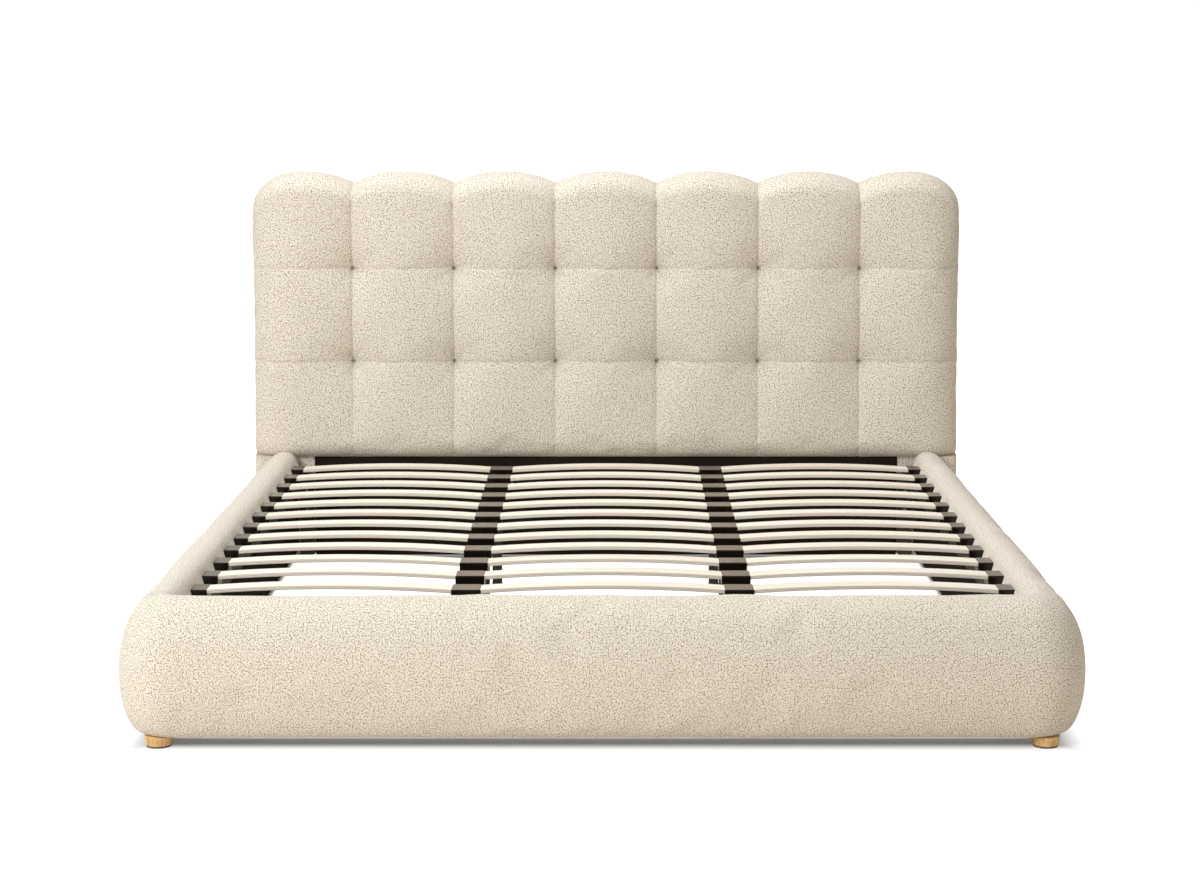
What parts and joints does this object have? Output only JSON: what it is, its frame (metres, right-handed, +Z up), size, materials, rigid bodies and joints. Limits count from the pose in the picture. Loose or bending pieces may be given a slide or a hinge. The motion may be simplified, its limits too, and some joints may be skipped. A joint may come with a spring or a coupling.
{
  "type": "upholstered headboard bed",
  "caption": "Upholstered bed with a channelled, tufted, scalloped headboard, padded rails with rounded foot corners and a bowed slat base on centre legs.",
  "frame": {"origin": "on the floor under the middle of the whole bed", "axes": "+X to the right seen from the foot end, +Y from the foot end to the headboard, +Z up"},
  "size_m": [2.22, 2.322, 1.217],
  "materials": {
    "pine": "matte",
    "plywood": "matte",
    "stained_pine": "matte",
    "birch": "satin",
    "oak": "satin",
    "foam": "matte",
    "boucle": "matte",
    "twine": "matte",
    "dark_lining": "matte",
    "dark_panel": "matte",
    "dark_plastic": "satin",
    "dark_steel": "satin",
    "leveller_steel": "satin",
    "zinc_steel": "satin",
    "felt": "matte"
  },
  "bodies": {
    "bed": {"head_post_left": "pine", "head_post_right": "pine", "head_stiles": "pine", "head_top_rail": "pine", "head_middle_rail": "pine", "head_bottom_rail": "pine", "head_board": "plywood", "head_foam": "foam", "head_cover": "boucle", "head_back_lining": "dark_lining", "head_lower_panel": "dark_panel", "tuft_buttons": "boucle", "tuft_ties": "twine", "head_glides": "dark_plastic", "rail_inner_board_left": "plywood", "rail_inner_board_right": "plywood", "rail_outer_board_left": "plywood", "rail_outer_board_right": "plywood", "rail_battens_left": "pine", "rail_battens_right": "pine", "rail_foam_left": "foam", "rail_foam_right": "foam", "rail_cover_left": "boucle", "rail_cover_right": "boucle", "rail_lining_left": "dark_lining", "rail_lining_right": "dark_lining", "slat_ledge_left": "stained_pine", "slat_ledge_right": "stained_pine", "foot_inner_board": "plywood", "foot_outer_board": "plywood", "foot_battens": "pine", "foot_corner_blocks": "pine", "foot_foam": "foam", "foot_cover": "boucle", "foot_lining": "dark_lining", "corner_brackets": "dark_steel", "bracket_bolts": "zinc_steel", "slats_left": "birch", "slats_middle": "birch", "slats_right": "birch", "side_holders_left": "dark_plastic", "side_holders_right": "dark_plastic", "double_holders_left": "dark_plastic", "double_holders_right": "dark_plastic", "centre_rail_left": "dark_steel", "centre_rail_right": "dark_steel", "hanger_brackets": "dark_steel", "centre_legs": "dark_steel", "base_screws": "zinc_steel", "wooden_foot_left": "oak", "wooden_foot_right": "oak", "foot_bolts": "zinc_steel", "felt_pads": "felt"},
    "leveller_1": {"leveller_1": "leveller_steel"},
    "leveller_2": {"leveller_2": "leveller_steel"},
    "leveller_3": {"leveller_3": "leveller_steel"},
    "leveller_4": {"leveller_4": "leveller_steel"},
    "leveller_5": {"leveller_5": "leveller_steel"},
    "leveller_6": {"leveller_6": "leveller_steel"}
  },
  "joints": [
    {"name": "leveller_1_screw", "type": "slide", "parent": "bed", "child": "leveller_1", "axis": [0, 0, -1], "range_m": [0, 0.012]},
    {"name": "leveller_2_screw", "type": "slide", "parent": "bed", "child": "leveller_2", "axis": [0, 0, -1], "range_m": [0, 0.012]},
    {"name": "leveller_3_screw", "type": "slide", "parent": "bed", "child": "leveller_3", "axis": [0, 0, -1], "range_m": [0, 0.012]},
    {"name": "leveller_4_screw", "type": "slide", "parent": "bed", "child": "leveller_4", "axis": [0, 0, -1], "range_m": [0, 0.012]},
    {"name": "leveller_5_screw", "type": "slide", "parent": "bed", "child": "leveller_5", "axis": [0, 0, -1], "range_m": [0, 0.012]},
    {"name": "leveller_6_screw", "type": "slide", "parent": "bed", "child": "leveller_6", "axis": [0, 0, -1], "range_m": [0, 0.012]}
  ]
}
